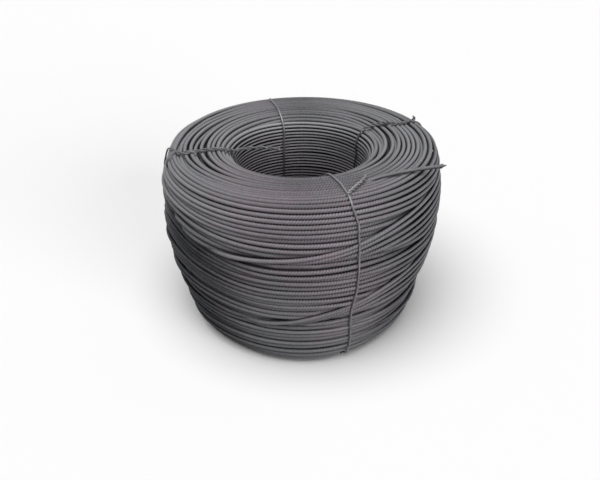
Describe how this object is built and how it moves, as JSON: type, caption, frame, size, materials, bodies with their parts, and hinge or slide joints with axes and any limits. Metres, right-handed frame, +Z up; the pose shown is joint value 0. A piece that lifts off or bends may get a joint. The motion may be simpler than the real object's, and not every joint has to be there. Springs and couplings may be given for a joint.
{
  "type": "coil of rebar",
  "caption": "Barrel-shaped coil of ribbed reinforcing bar with an open eye through it, bound with twisted wire ties, standing on its end.",
  "frame": {"origin": "on the floor, on the axis of the coil", "axes": "+Z up along the axis of the coil, -Y toward the side the picture shows, +X to the right in the picture"},
  "size_m": [0.432, 0.4318, 0.3004],
  "materials": {
    "rebar_steel": "hot-rolled mill scale with a faint rust tinge",
    "tie_wire": "dull annealed wire"
  },
  "bodies": {
    "root": {"rebar_coil": "rebar_steel", "tie_wire_front": "tie_wire", "tie_wire_right": "tie_wire", "tie_wire_back": "tie_wire", "tie_wire_left": "tie_wire"}
  },
  "joints": []
}
